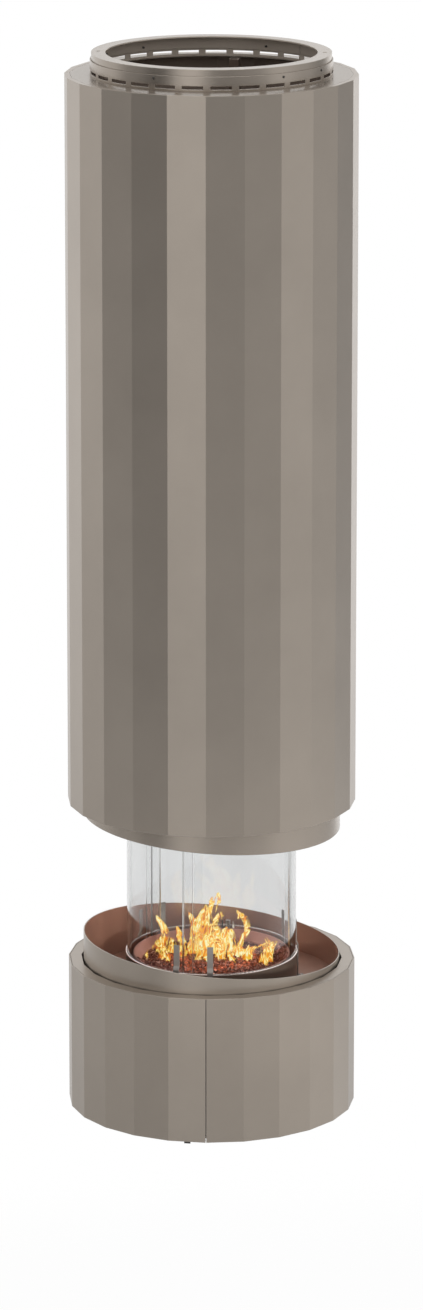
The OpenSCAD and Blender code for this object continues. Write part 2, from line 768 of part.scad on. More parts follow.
module hinge_pins() color([0.75, 0.74, 0.72]) for (z = hinge_levels()) translate([0, hinge_y, z]) {
    cylinder(d = hinge_pin_d, h = 3 * knuckle_h + 1, $fn = 48);
    translate([0, 0, 3 * knuckle_h + 1]) cylinder(r = hinge_out - 0.5, h = 2.5, $fn = 48);
}

// Finger pull folded down from the lower rim of the left door, beside the front seam
module door_pull() color([0.40, 0.38, 0.36])
    rotate([0, 0, -step / 2]) translate([0, -shell_r * flat, z_base]) {
        translate([-pull[0] / 2, 1, -1.5]) cube([pull[0], pull[1], 1.5]);
        translate([-pull[0] / 2, 1, -pull[2]]) cube([pull[0], 1.5, pull[2]]);
    }

// Centre heights of the catches
function catch_levels() = [z_base + 35, z_ledge - 35];

module strike(side) {
    along = shell_r * sin(step / 2) - catch_from_seam;
    for (z = catch_levels()) on_seam_facet(side)
        translate([-side * along - catch_size[0] / 2, 0, z - catch_size[1] / 2 - 3])
        cube([catch_size[0], strike_t, catch_size[1] + 6]);
}

module door_left_strikes() color([0.70, 0.70, 0.70]) strike(-1);

module door_right_strikes() color([0.70, 0.70, 0.70]) strike(1);

// Magnets on the front bar, one for each door at each level
module catch_magnets() color([0.20, 0.20, 0.20]) {
    along = shell_r * sin(step / 2) - catch_from_seam;
    reach = shell_r - ledge_bar_r;
    difference() {
        for (side = [-1, 1]) for (z = catch_levels()) on_seam_facet(side)
            translate([-side * along - catch_size[0] / 2, strike_t + touch_gap, z - catch_size[1] / 2])
            cube([catch_size[0], reach, catch_size[1]]);
        translate([-shell_d / 2, -ledge_bar_r - ledge_bar_t, z_base]) cube([shell_d, shell_d, base_h]);
        translate([-seam_gap, -shell_d / 2, z_base]) cube([2 * seam_gap, shell_d, base_h]);
    }
}

// ---------------------------------------------------------------- gas train

module isolating_valve() color([0.78, 0.62, 0.32]) {
    difference() {
        union() {
            translate([supply_xy[0] - iso[0] / 2, supply_xy[1] - iso[1] / 2, z_iso - iso[2]]) cube(iso);
            translate([supply_xy[0], supply_xy[1], z_iso]) difference() {
                cylinder(r = 9, h = 10, $fn = 6);
                translate([0, 0, -eps]) cylinder(r = supply_d / 2 + 0.1, h = 10 + 2 * eps, $fn = 32);
            }
        }
        translate([supply_xy[0], supply_xy[1] - iso[1] / 2 - eps, iso_axis_z]) rotate([-90, 0, 0])
            cylinder(r = spindle_r + run, h = 10 + eps, $fn = 32);
    }
}

// Quarter-turn lever; it stands in line with the pipe when the gas is on
module isolating_lever() color([0.75, 0.20, 0.15]) {
    translate([supply_xy[0], supply_xy[1] - iso[1] / 2, iso_axis_z]) rotate([90, 0, 0]) {
        translate([0, 0, -9]) cylinder(r = spindle_r, h = 9 + touch_gap, $fn = 32);
        translate([0, 0, touch_gap]) cylinder(r = 8, h = 6, $fn = 48);
        translate([0, 0, touch_gap + 2]) linear_extrude(3) hull() {
            circle(r = 6, $fn = 32);
            translate([0, 48]) circle(r = 5, $fn = 32);
        }
    }
}

// Pipe from the isolating valve to the side of the gas valve
module inlet_pipe() color([0.72, 0.45, 0.25]) {
    z0 = z_iso - iso[2];
    z1 = z_valve - valve[2] / 2;
    pipe_run([
        [supply_xy[0], supply_xy[1], z0], [supply_xy[0], supply_xy[1], z1],
        [supply_xy[0], valve_y, z1], [valve[0] / 2, valve_y, z1]
    ], pipe_r);
}

module gas_valve() color([0.62, 0.63, 0.64]) {
    difference() {
        translate([-valve[0] / 2, valve_y - valve[1] / 2, z_valve - valve[2]]) {
            cube(valve);
            translate([-6, 14, 10]) cube([6, valve[1] - 28, valve[2] - 20]);
            translate([18, 16, valve[2]]) cylinder(r = 11, h = 14, $fn = 48);
        }
        translate([0, valve_y - valve[1] / 2 - eps, z_valve - valve[2] / 2]) rotate([-90, 0, 0])
            cylinder(r = spindle_r + run, h = 14 + eps, $fn = 32);
    }
}

// Control knob with a pointer rib and a knurled edge of flats
module valve_knob() color([0.13, 0.13, 0.13]) {
    flutes = 12;
    translate([0, valve_y - valve[1] / 2, z_valve - valve[2] / 2]) rotate([90, 0, 0]) {
        translate([0, 0, -13]) cylinder(r = spindle_r, h = 13 + touch_gap, $fn = 32);
        translate([0, 0, touch_gap]) difference() {
            cylinder(r = knob_r, h = knob_l, $fn = 64);
            for (i = [0 : flutes - 1]) rotate([0, 0, 360 * (i + 0.5) / flutes])
                translate([knob_r + 1.5, 0, 5]) cylinder(r = 3, h = knob_l, $fn = 24);
        }
        translate([-1, 0, touch_gap + knob_l]) cube([2, knob_r - 3, 2]);
    }
}

// Bridge that carries the gas valve above the base floor
module valve_bracket() color([0.50, 0.49, 0.47]) {
    h = z_valve - valve[2] - z_floor;
    w = valve[0] - 2 * bracket_inset;
    d = valve[1] - 2 * bracket_inset;
    translate([-w / 2, valve_y - d / 2, z_floor]) difference() {
        cube([w, d, h]);
        translate([plate_t, -eps, -eps]) cube([w - 2 * plate_t, d + 2 * eps, h - plate_t + eps]);
    }
}

module burner_feed_pipe() color([0.72, 0.45, 0.25])
    translate([0, -burner_r, z_valve]) cylinder(r = pipe_r, h = z_bowl + 4 - z_valve, $fn = 32);

module receiver_box() color([0.16, 0.16, 0.17]) {
    rib = 4;
    translate([receiver_xy[0] - receiver[0] / 2, receiver_xy[1] - receiver[1] / 2, z_floor]) {
        difference() {
            cube(receiver);
            translate([-eps, -eps, receiver[2] - 12]) cube([receiver[0] + 2 * eps, 1.5 + eps, 1]);
            translate([-eps, receiver[1] - 1.5, receiver[2] - 12])
                cube([receiver[0] + 2 * eps, 1.5 + eps, 1]);
        }
        for (i = [0 : 5]) translate([20 + i * 3 * rib, 20, receiver[2]]) cube([rib, 40, 1.2]);
    }
}

// ---------------------------------------------------------------- nodes

ceiling_ring();
vent_ring();
vent_ring_screws();
hood_top_plate();
hood_shell_front();
hood_shell_back();
hood_joint_straps();
hood_posts();
hood_underside();
hood_skirt();
flue_exhaust_pipe();
flue_air_pipe();
flue_spacers();
exhaust_cone();
air_cone();
glass_top_ring();
tie_rods();
tie_rod_nuts();
supply_tube();
pane_left();
pane_right();
pane_back();
joint_strips();
pane_gasket();
pane_clips();
clip_screws();
burner_tray();
burner_pan();
burner_ring();
lava_grate();
lava_bed();
injector();
pilot_hood();
ignition_electrode();
flame_sensor();
bowl_ring();
bowl_floor();
base_ledge();
ledge_posts();
base_posts();
base_floor();
door_left();
door_right();
door_left_hinges();
door_right_hinges();
frame_hinges();
hinge_pins();
door_pull();
catch_magnets();
door_left_strikes();
door_right_strikes();
isolating_valve();
isolating_lever();
inlet_pipe();
gas_valve();
valve_knob();
valve_bracket();
burner_feed_pipe();
receiver_box();
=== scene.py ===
# Looks of the hanging gas fireplace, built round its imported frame. Metres, +Z up, front at -Y.
import math
import random

import bpy
import numpy as np
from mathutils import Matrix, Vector


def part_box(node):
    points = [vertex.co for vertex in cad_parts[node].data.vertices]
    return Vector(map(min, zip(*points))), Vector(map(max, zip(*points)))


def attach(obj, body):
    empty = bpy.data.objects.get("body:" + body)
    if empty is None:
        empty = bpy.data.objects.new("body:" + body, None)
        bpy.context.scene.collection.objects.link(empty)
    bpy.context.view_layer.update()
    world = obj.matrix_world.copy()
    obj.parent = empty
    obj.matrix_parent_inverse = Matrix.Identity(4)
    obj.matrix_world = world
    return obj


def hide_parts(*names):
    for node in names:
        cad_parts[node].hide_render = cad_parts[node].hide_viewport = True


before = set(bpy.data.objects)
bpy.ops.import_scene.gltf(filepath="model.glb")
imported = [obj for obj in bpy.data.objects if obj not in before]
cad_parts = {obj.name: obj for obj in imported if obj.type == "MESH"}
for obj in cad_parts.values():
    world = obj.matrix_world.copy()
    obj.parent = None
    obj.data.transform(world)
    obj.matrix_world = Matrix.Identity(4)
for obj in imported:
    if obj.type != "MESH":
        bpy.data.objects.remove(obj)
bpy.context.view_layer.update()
scene = bpy.context.scene
print("frame loaded")

# A long lens above the ceiling ring and a little to the right; the shift keeps the uprights nearly parallel.
cameraSet = {"distance": 11.712, "height": 1.753, "turn": 2.2, "tilt": 11.87, "lens": 159.9, "sensor": 36,
             "shift": -0.2, "farthest": 200}


def makeCamera(s):
    data = bpy.data.cameras.new("camera")
    data.lens = s["lens"]
    data.sensor_width = s["sensor"]
    data.shift_y = s["shift"]
    data.clip_end = s["farthest"]
    camera = bpy.data.objects.new("camera", data)
    turn = math.radians(s["turn"])
    camera.location = (s["distance"] * math.sin(turn), -s["distance"] * math.cos(turn), s["height"])
    camera.rotation_euler = (math.radians(90 - s["tilt"]), 0, turn)
    scene.collection.objects.link(camera)
    scene.camera = camera


makeCamera(cameraSet)
scene.view_settings.view_transform = "Standard"
print("camera placed")


def setInputs(tree, node, values):                     # sockets are linked, other values are set
    for key, value in values.items():
        if isinstance(value, bpy.types.NodeSocket):
            tree.links.new(value, node.inputs[key])
        else:
            node.inputs[key].default_value = value
    return node


def put(tree, kind, inputs=None, **settings):
    node = tree.nodes.new("ShaderNode" + kind)
    for key, value in settings.items():
        setattr(node, key, value)
    return setInputs(tree, node, inputs or {})


def calc(tree, operation, a, b=0.0, c=0.0, clamp=False):
    return put(tree, "Math", {0: a, 1: b, 2: c}, operation=operation, use_clamp=clamp).outputs[0]


def remap(tree, value, low, high, toLow=0.0, toHigh=1.0):
    return put(tree, "MapRange", {"Value": value, "From Min": low, "From Max": high, "To Min": toLow,
                                  "To Max": toHigh}, interpolation_type="SMOOTHSTEP").outputs[0]


def ramp(tree, factor, stops, smooth=False):
    node = put(tree, "ValToRGB", {"Fac": factor})
    node.color_ramp.interpolation = "EASE" if smooth else "LINEAR"
    points = node.color_ramp.elements
    while len(points) < len(stops):
        points.new(0.5)
    for point, (place, colour) in zip(points, stops):
        point.position = place
        point.color = (*colour, 1)
    return node.outputs["Color"]


def grey(level):
    return (level, level, level)


def mixColour(tree, factor, a, b):
    a, b = (c if isinstance(c, bpy.types.NodeSocket) else (*c, 1) for c in (a, b))
    return put(tree, "Mix", {0: factor, 6: a, 7: b}, data_type="RGBA").outputs[2]


def objectPlace(tree):
    return put(tree, "TexCoord").outputs["Object"]


def scaledPlace(tree, factors):                        # the object's coordinates, each times its own factor
    return put(tree, "VectorMath", {0: objectPlace(tree), 1: factors}, operation="MULTIPLY").outputs[0]


def noise(tree, place, **inputs):
    return put(tree, "TexNoise", {"Vector": place, **inputs}).outputs[0]


def newGroup(name, inputs, outputs):
    group = bpy.data.node_groups.new(name, "ShaderNodeTree")
    for label, kind, default in inputs:
        socket = group.interface.new_socket(label, in_out="INPUT", socket_type="NodeSocket" + kind)
        socket.default_value = default
    for label, kind in outputs:
        group.interface.new_socket(label, in_out="OUTPUT", socket_type="NodeSocket" + kind)
    return group, group.nodes.new("NodeGroupInput").outputs, group.nodes.new("NodeGroupOutput").inputs


def useGroup(tree, group, **values):
    return setInputs(tree, put(tree, "Group", node_tree=group), values).outputs


def makeGrain():                                       # speckle of a powder coat, and slow drifts of tone
    group, given, out = newGroup("fineGrain", [("Size", "Float", 0.001), ("Drift", "Float", 6.0)],
                                 [("Height", "Float"), ("Tone", "Float")])
    spot = objectPlace(group)
    scale = calc(group, "DIVIDE", 1.0, given["Size"])
    fine = noise(group, spot, Scale=scale, Detail=3.0, Roughness=0.6)
    broad = noise(group, spot, Scale=given["Drift"], Detail=4.0, Roughness=0.55)
    speckle = calc(group, "MULTIPLY", fine, 0.35)      # the tone is about a third speckle, the rest drift
    tone = calc(group, "ADD", speckle, calc(group, "MULTIPLY", broad, 0.65))
    group.links.new(fine, out["Height"])
    group.links.new(tone, out["Tone"])
    return group


def makeBrush():                                       # long fine scratches along one axis
    group, given, out = newGroup("brushing", [("Stretch", "Vector", (1, 1, 0.02)), ("Scale", "Float", 900.0)],
                                 [("Height", "Float")])
    drawn = scaledPlace(group, given["Stretch"])
    group.links.new(noise(group, drawn, Scale=given["Scale"], Detail=2.0), out["Height"])
    return group


def makeEdges():                                       # mask of the outer edges, broken up a little
    inputs = [("Width", "Float", 0.0015), ("Breaks", "Float", 60.0), ("Strength", "Float", 14.0)]
    group, given, out = newGroup("edgeWearAndHighlight", inputs, [("Mask", "Float"), ("Normal", "Vector")])
    soft = put(group, "Bevel", {"Radius": given["Width"]}, samples=4).outputs[0]
    hard = put(group, "NewGeometry").outputs["Normal"]
    alike = put(group, "VectorMath", {0: soft, 1: hard}, operation="DOT_PRODUCT").outputs["Value"]
    edge = calc(group, "MULTIPLY", calc(group, "SUBTRACT", 1.0, alike), given["Strength"], clamp=True)
    breaks = noise(group, objectPlace(group), Scale=given["Breaks"], Detail=3.0)
    group.links.new(calc(group, "MULTIPLY", edge, breaks), out["Mask"])
    group.links.new(soft, out["Normal"])
    return group


def makeDust():                                        # settles on what faces up
    group, given, out = newGroup("dust", [("Amount", "Float", 0.3)], [("Mask", "Float")])
    up = put(group, "SeparateXYZ", {0: put(group, "NewGeometry").outputs["Normal"]}).outputs["Z"]
    cloud = noise(group, objectPlace(group), Scale=14.0, Detail=6.0)
    lying = calc(group, "MULTIPLY", calc(group, "MAXIMUM", up, 0.0), cloud)
    group.links.new(calc(group, "MULTIPLY", lying, given["Amount"], clamp=True), out["Mask"])
    return group


def facingOut(tree):                                   # 1 where a surface faces away from the upright axis
    outward = put(tree, "VectorMath", {0: scaledPlace(tree, (1, 1, 0))}, operation="NORMALIZE").outputs[0]
    normal = put(tree, "NewGeometry").outputs["Normal"]
    return put(tree, "VectorMath", {0: outward, 1: normal}, operation="DOT_PRODUCT").outputs["Value"]


def makeInner():                                       # 1 on round walls that face the upright axis
    group, given, out = newGroup("innerWall", [("Limit", "Float", -0.5)], [("Mask", "Float")])
    group.links.new(calc(group, "LESS_THAN", facingOut(group), given["Limit"]), out["Mask"])
    return group


def makeCutEdge():                                     # 1 on the upright cut edges of a curved pane
    group, given, out = newGroup("cutEdge", [("Limit", "Float", 0.6)], [("Mask", "Float")])
    facing = calc(group, "ABSOLUTE", facingOut(group))
    group.links.new(calc(group, "LESS_THAN", facing, given["Limit"]), out["Mask"])
    return group


def makeAbove():                                       # 1 above a level, such as on the rolled edge of a wall
    group, given, out = newGroup("aboveLevel", [("Level", "Float", 0.0)], [("Mask", "Float")])
    height = put(group, "SeparateXYZ", {0: objectPlace(group)}).outputs["Z"]
    group.links.new(calc(group, "GREATER_THAN", height, given["Level"]), out["Mask"])
    return group


fineGrain, brushing, edgeWearAndHighlight, dust = makeGrain(), makeBrush(), makeEdges(), makeDust()
innerWall, cutEdge, aboveLevel = makeInner(), makeCutEdge(), makeAbove()


def newFinish(name, **plain):                          # a material, its Principled shader and plain values
    material = bpy.data.materials.new(name)
    material.use_nodes = True
    tree = material.node_tree
    tree.nodes.clear()
    shader = put(tree, "BsdfPrincipled")
    out = put(tree, "OutputMaterial", {"Surface": shader.outputs[0]})
    for label, value in plain.items():
        shader.inputs[label.replace("_", " ")].default_value = value
    return material, tree, shader, out


def wire(tree, shader, **sources):                     # Base_Color stands for the socket Base Color
    for label, source in sources.items():
        tree.links.new(source, shader.inputs[label.replace("_", " ")])


def twoTone(tree, factor, s):                          # from the dark to the light colour of a finish
    return ramp(tree, factor, [(0.3, s["dark"]), (0.7, s["light"])])


def roughFrom(tree, height, s):
    return calc(tree, "MULTIPLY_ADD", height, s["roughSpread"], s["rough"] - s["roughSpread"] / 2)


def bumpFrom(tree, height, s, **normal):
    return put(tree, "Bump", {"Strength": s["bump"], "Distance": s["bumpDepth"], "Height": height,
                              **normal}).outputs[0]


def paintFinish(name, s):
    material, tree, shader, _ = newFinish(name, Metallic=s["metal"])
    grain = useGroup(tree, fineGrain, Size=s["grain"], Drift=s["drift"])
    edges = useGroup(tree, edgeWearAndHighlight, Width=s["edge"])
    lying = useGroup(tree, dust, Amount=s["dust"])
    tone = twoTone(tree, grain["Tone"], s)
    metal = s["metal"]
    if "inside" in s:                                  # another coat on walls that look at the axis; on the shell and collar it is painted light
        inner = useGroup(tree, innerWall)["Mask"]
        tone = mixColour(tree, inner, tone, mixColour(tree, grain["Tone"], *s["inside"]))
        metal = remap(tree, inner, 0, 1, s["metal"], s["insideMetal"])
    # Worn edges show the bare colour; on the tray it is also a painted highlight along the rim.
    wornAndHighlit = mixColour(tree, calc(tree, "MULTIPLY", edges["Mask"], s["wearAndHighlight"]), tone, s["bareAndHighlight"])
    wornAndHighlit = mixColour(tree, lying["Mask"], wornAndHighlit, s["dustTone"])
    rough = roughFrom(tree, grain["Height"], s)
    if "polishedFrom" in s:                            # bare metal above this height, with a painted highlight
        rim = useGroup(tree, aboveLevel, Level=s["polishedFrom"])["Mask"]
        wornAndHighlit = mixColour(tree, rim, wornAndHighlit, s["polishAndHighlight"])
        rough = calc(tree, "MULTIPLY", rough, remap(tree, rim, 0, 1, 1, s["polishRough"]))
        metal = calc(tree, "MAXIMUM", metal, rim)
    wire(tree, shader, Base_Color=wornAndHighlit, Roughness=rough,
         Normal=bumpFrom(tree, grain["Height"], s, Normal=edges["Normal"]))
    if isinstance(metal, bpy.types.NodeSocket):
        wire(tree, shader, Metallic=metal)
    return material


def metalFinish(name, s):
    material, tree, shader, _ = newFinish(name, Metallic=s["metal"])
    lines = useGroup(tree, brushing, Stretch=s["stretch"], Scale=s["scale"])
    edges = useGroup(tree, edgeWearAndHighlight, Width=s["edge"])
    grain = useGroup(tree, fineGrain, Size=s["grain"], Drift=s["drift"])
    wire(tree, shader, Base_Color=mixColour(tree, edges["Mask"], twoTone(tree, grain["Tone"], s), s["bareAndHighlight"]),
         Roughness=roughFrom(tree, lines["Height"], s),
         Normal=bumpFrom(tree, lines["Height"], s, Normal=edges["Normal"]))
    return material


def glassFinish(name, s):                              # faint upright streaks, a painted reflection; shadow rays pass straight
    material, tree, shader, out = newFinish(name, Transmission_Weight=1.0, IOR=s["bend"])
    streak = noise(tree, scaledPlace(tree, s["stretch"]), Scale=s["streaks"], Detail=3.0)
    # The cut edges are ground and rough, and their near-white tone is also a painted highlight.
    groundEdgeAndHighlight = useGroup(tree, cutEdge)["Mask"]
    tint = mixColour(tree, groundEdgeAndHighlight, ramp(tree, streak, [(0.35, s["dark"]), (0.65, s["light"])]), s["edgeTone"])
    wire(tree, shader, Base_Color=tint, Roughness=calc(tree, "MULTIPLY", groundEdgeAndHighlight, s["edgeRough"]))
    clear = put(tree, "BsdfTransparent", {"Color": tint})
    shadow = put(tree, "LightPath").outputs["Is Shadow Ray"]
    joined = put(tree, "MixShader", {0: shadow, 1: shader.outputs[0], 2: clear.outputs[0]})
    tree.links.new(joined.outputs[0], out.inputs["Surface"])
    return material


def mouldedFinish(name, s):                            # plastic, ceramic and the seal's fibre
    material, tree, shader, _ = newFinish(name)
    grain = useGroup(tree, fineGrain, Size=s["grain"], Drift=s["drift"])
    edges = useGroup(tree, edgeWearAndHighlight, Width=s["edge"])
    wire(tree, shader, Base_Color=twoTone(tree, grain["Tone"], s),
         Roughness=roughFrom(tree, grain["Height"], s),
         Normal=bumpFrom(tree, grain["Height"], s, Normal=edges["Normal"]))
    return material


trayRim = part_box("burner_tray")[1].z - 0.0024          # where its rolled edge begins
taupeSet = {
    "dark": (0.402, 0.351, 0.301), "light": (0.452, 0.396, 0.340), "bareAndHighlight": (0.60, 0.557, 0.505),
    "metal": 0.82, "grain": 0.0011, "drift": 6.0, "edge": 0.0016, "wearAndHighlight": 0.45, "dust": 0.06,
    "dustTone": (0.62, 0.60, 0.57), "rough": 0.30, "roughSpread": 0.08, "bump": 0.22, "bumpDepth": 0.0004}
copperSet = {
    **taupeSet, "dark": (0.42, 0.225, 0.160), "light": (0.50, 0.275, 0.200), "bareAndHighlight": (0.60, 0.40, 0.31),
    "metal": 0.30, "drift": 16.0, "rough": 0.40, "dust": 0.10}
bronzeSet = {
    **taupeSet, "dark": (0.150, 0.108, 0.083), "light": (0.195, 0.145, 0.113), "bareAndHighlight": (0.46, 0.38, 0.32),
    "metal": 0.55, "wearAndHighlight": 0.8}
steelSet = {
    "dark": (0.36, 0.355, 0.345), "light": (0.46, 0.455, 0.44), "bareAndHighlight": (0.62, 0.61, 0.59), "metal": 1.0,
    "grain": 0.004, "drift": 30.0, "stretch": (1, 1, 0.02), "scale": 1500.0, "edge": 0.0006,
    "rough": 0.33, "roughSpread": 0.22, "bump": 0.12, "bumpDepth": 0.0003}
glassSet = {"stretch": (1, 1, 0.06), "streaks": 9.0, "edgeTone": (0.98, 0.98, 0.98)}
mouldedSet = {
    "grain": 0.0012, "drift": 20.0, "edge": 0.0008, "roughSpread": 0.2, "bump": 0.3, "bumpDepth": 0.0003}
finishes = {
    "taupe": paintFinish("taupePaint", taupeSet),
    "skirt": paintFinish("skirtPaint", {**taupeSet, "rough": 0.20, "roughSpread": 0.06}),
    # The shell's browner, less metallic inner coat is painted light that lifts its shaded inner walls.
    "shell": paintFinish("shellPaint", {
        **taupeSet, "inside": ((0.36, 0.285, 0.235), (0.42, 0.335, 0.280)), "insideMetal": 0.15}),
    "topPlate": paintFinish("topPlatePaint", {
        **taupeSet, "dark": (0.325, 0.282, 0.240), "light": (0.37, 0.322, 0.273), "rough": 0.27,
        "roughSpread": 0.06, "dust": 0.03}),
    # The collar's lighter, less metallic inner coat is painted light on its shaded inner wall.
    "collar": paintFinish("collarPaint", {
        **taupeSet, "inside": ((0.60, 0.520, 0.440), (0.68, 0.590, 0.500)), "insideMetal": 0.15,
        "rough": 0.25, "dust": 0.02}),
    "ring": paintFinish("bowlRingPaint", {
        **taupeSet, "inside": ((0.40, 0.212, 0.150), (0.52, 0.290, 0.212)), "insideMetal": 0.30}),
    "copper": paintFinish("copperPaint", copperSet),
    "pan": paintFinish("panPaint", {
        **copperSet, "dark": (0.50, 0.215, 0.170), "light": (0.60, 0.275, 0.220)}),
    "bronze": paintFinish("bronzePaint", bronzeSet),
    # The tray's near-white edges and rolled rim are bare metal and a painted highlight.
    "tray": paintFinish("trayPaint", {
        **bronzeSet, "dark": (0.160, 0.126, 0.102), "light": (0.210, 0.168, 0.138),
        "bareAndHighlight": (0.90, 0.80, 0.72), "inside": ((0.30, 0.120, 0.090), (0.38, 0.170, 0.130)),
        "insideMetal": 0.1, "metal": 0.45, "edge": 0.0014, "polishedFrom": trayRim,
        "polishAndHighlight": (0.98, 0.88, 0.84), "polishRough": 0.45}),
    "darkSteel": metalFinish("darkSteel", {
        **steelSet, "dark": (0.07, 0.068, 0.064), "light": (0.11, 0.105, 0.1), "bareAndHighlight": (0.24, 0.23, 0.22),
        "rough": 0.45}),
    "clip": metalFinish("clipSteel", {
        **steelSet, "dark": (0.25, 0.238, 0.225), "light": (0.31, 0.294, 0.278), "bareAndHighlight": (0.5, 0.48, 0.45),
        "metal": 0.35, "rough": 0.46}),
    "zinc": metalFinish("zincSteel", {**steelSet, "stretch": (1, 1, 1), "scale": 120.0, "rough": 0.42}),
    "dullZinc": metalFinish("dullZincSteel", {
        **steelSet, "dark": (0.15, 0.145, 0.14), "light": (0.2, 0.195, 0.19), "bareAndHighlight": (0.3, 0.29, 0.28),
        "rough": 0.5}),
    "stainless": metalFinish("stainlessSteel", {
        **steelSet, "dark": (0.52, 0.51, 0.49), "light": (0.6, 0.59, 0.57), "rough": 0.26}),
    "bright": metalFinish("brightSteel", {
        **steelSet, "dark": (0.70, 0.70, 0.69), "light": (0.78, 0.78, 0.77), "bareAndHighlight": (0.85, 0.85, 0.84),
        "rough": 0.12, "roughSpread": 0.08}),
    "glass": glassFinish("clearGlass", {
        **glassSet, "dark": (0.825, 0.830, 0.830), "light": (0.868, 0.872, 0.872), "edgeRough": 0.5,
        "bend": 1.47}),
    "strip": glassFinish("clearStrip", {
        **glassSet, "dark": (0.93, 0.935, 0.935), "light": (0.96, 0.965, 0.965), "edgeRough": 0.3,
        "bend": 1.15}),
    "rope": mouldedFinish("sealRope", {
        **mouldedSet, "dark": (0.10, 0.095, 0.09), "light": (0.2, 0.19, 0.18), "rough": 0.9}),
    "brass": metalFinish("turnedBrass", {
        **steelSet, "dark": (0.58, 0.40, 0.14), "light": (0.68, 0.48, 0.18), "bareAndHighlight": (0.82, 0.62, 0.3),
        "rough": 0.28, "stretch": (1, 1, 1)}),
    "pipe": metalFinish("copperPipe", {
        **steelSet, "dark": (0.50, 0.24, 0.13), "light": (0.62, 0.31, 0.18), "bareAndHighlight": (0.75, 0.42, 0.28),
        "rough": 0.3}),
    "ceramic": mouldedFinish("whiteCeramic", {
        **mouldedSet, "dark": (0.66, 0.64, 0.58), "light": (0.76, 0.74, 0.68), "grain": 0.002,
        "rough": 0.25}),
    "black": mouldedFinish("blackPlastic", {
        **mouldedSet, "dark": (0.018, 0.018, 0.019), "light": (0.03, 0.03, 0.031), "grain": 0.0007,
        "rough": 0.5}),
    "red": mouldedFinish("redPlastic", {
        **mouldedSet, "dark": (0.42, 0.03, 0.02), "light": (0.52, 0.05, 0.03), "grain": 0.0009,
        "rough": 0.4}),
    "cast": metalFinish("castAlloy", {
        **steelSet, "stretch": (1, 1, 1), "scale": 420.0, "rough": 0.5, "bump": 0.4}),
}
wears = {                                              # the nodes that each finish goes on
    "taupe": ["base_ledge"],
    "skirt": ["hood_skirt"],
    "shell": ["hood_shell_front", "hood_shell_back", "door_left", "door_right"],
    "topPlate": ["hood_top_plate"],
    "collar": ["ceiling_ring", "vent_ring"],
    "ring": ["bowl_ring"],
    "copper": ["bowl_floor"],
    "pan": ["burner_pan"],
    # On the posts and joint straps the dark bronze is painted shade, so they sink into the hood's dark
    # inside.
    "bronze": ["hood_underside", "glass_top_ring", "hood_posts", "hood_joint_straps"],
    "tray": ["burner_tray"],
    "clip": ["pane_clips", "pilot_hood"],
    "darkSteel": ["vent_ring_screws", "lava_grate", "flame_sensor", "catch_magnets", "door_pull"],
    "zinc": ["flue_spacers", "ledge_posts", "base_posts", "base_floor", "valve_bracket", "frame_hinges",
             "door_left_hinges", "door_right_hinges", "door_left_strikes", "door_right_strikes"],
    "dullZinc": ["flue_air_pipe", "air_cone"],
    "stainless": ["flue_exhaust_pipe", "exhaust_cone", "tie_rod_nuts", "burner_ring", "hinge_pins",
                  "clip_screws"],
    "bright": ["tie_rods", "supply_tube"],
    "glass": ["pane_left", "pane_right", "pane_back"],
    "strip": ["joint_strips"],
    "rope": ["pane_gasket"],
    "brass": ["injector", "isolating_valve"],
    "pipe": ["inlet_pipe", "burner_feed_pipe"],
    "ceramic": ["ignition_electrode"],
    "black": ["valve_knob", "receiver_box"],
    "red": ["isolating_lever"],
    "cast": ["gas_valve"],
}
for finish, names in wears.items():
    for name in names:
        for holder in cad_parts[name].material_slots:
            holder.material = finishes[finish]
print("finishes on", sum(map(len, wears.values())), "nodes")


def addPiece(name, points, faces, finish, smooth=True, tones=None):
    mesh = bpy.data.meshes.new(name)
    mesh.from_pydata([tuple(p) for p in points], [], [tuple(f) for f in faces])
    mesh.polygons.foreach_set("use_smooth", [smooth] * len(mesh.polygons))
    for label, values in (tones or {}).items():
        layer = mesh.attributes.new(label, "FLOAT", "POINT")
        layer.data.foreach_set("value", np.asarray(values, dtype=np.float32))
    mesh.materials.append(finish)
    piece = bpy.data.objects.new(name, mesh)
    scene.collection.objects.link(piece)
    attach(piece, "frame")
    return piece


def tubeFaces(start, rings, around, closed=False):     # rings of points, each joined to the next
    faces = []
    for ring in range(rings if closed else rings - 1):
        a, b = start + ring * around, start + (ring + 1) % rings * around
        faces += [(a + k, a + (k + 1) % around, b + (k + 1) % around, b + k) for k in range(around)]
    return faces


def discFaces(start, rings, around):                   # a fan round the first point, then ring after ring
    faces = [(start, start + 1 + k, start + 1 + (k + 1) % around) for k in range(around)]
    for a in range(start + 1, start + 1 + (rings - 1) * around, around):
        b = a + around
        faces += [(a + k, b + k, b + (k + 1) % around, a + (k + 1) % around) for k in range(around)]
    return faces


# Button heads with a hexagon socket, given in shares of the head's height and radius. domeTurns are angles up
# the dome in radians, tip is the shank's end in shares of its radius, and chamfer is in metres.
screwSet = {"around": 36, "dome": 0.62, "domeTurns": (0.28, 0.56, 0.84, 1.08), "socket": 0.42, "lip": 0.06,
            "deep": 0.6, "tip": 0.8, "chamfer": 0.0004}
ropeSet = {"wide": 0.0052, "turns": 62, "perTurn": 14, "sides": 8}


def screwCorners(node):                                # the corners of each separate screw in a node
    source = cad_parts[node]
    spots = np.array([source.matrix_world @ v.co for v in source.data.vertices])
    owner = list(range(len(spots)))

    def root(i):
        while owner[i] != i:
            owner[i] = owner[owner[i]]
            i = owner[i]
        return i

    firstAt = {}
    for i, spot in enumerate(spots):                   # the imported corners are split, so places are matched
        owner[root(i)] = root(firstAt.setdefault(tuple(spot.round(6)), i))
    for edge in source.data.edges:
        owner[root(edge.vertices[0])] = root(edge.vertices[1])
    screws = {}
    for i in range(len(spots)):
        screws.setdefault(root(i), []).append(i)
    return [spots[members] for members in screws.values()]


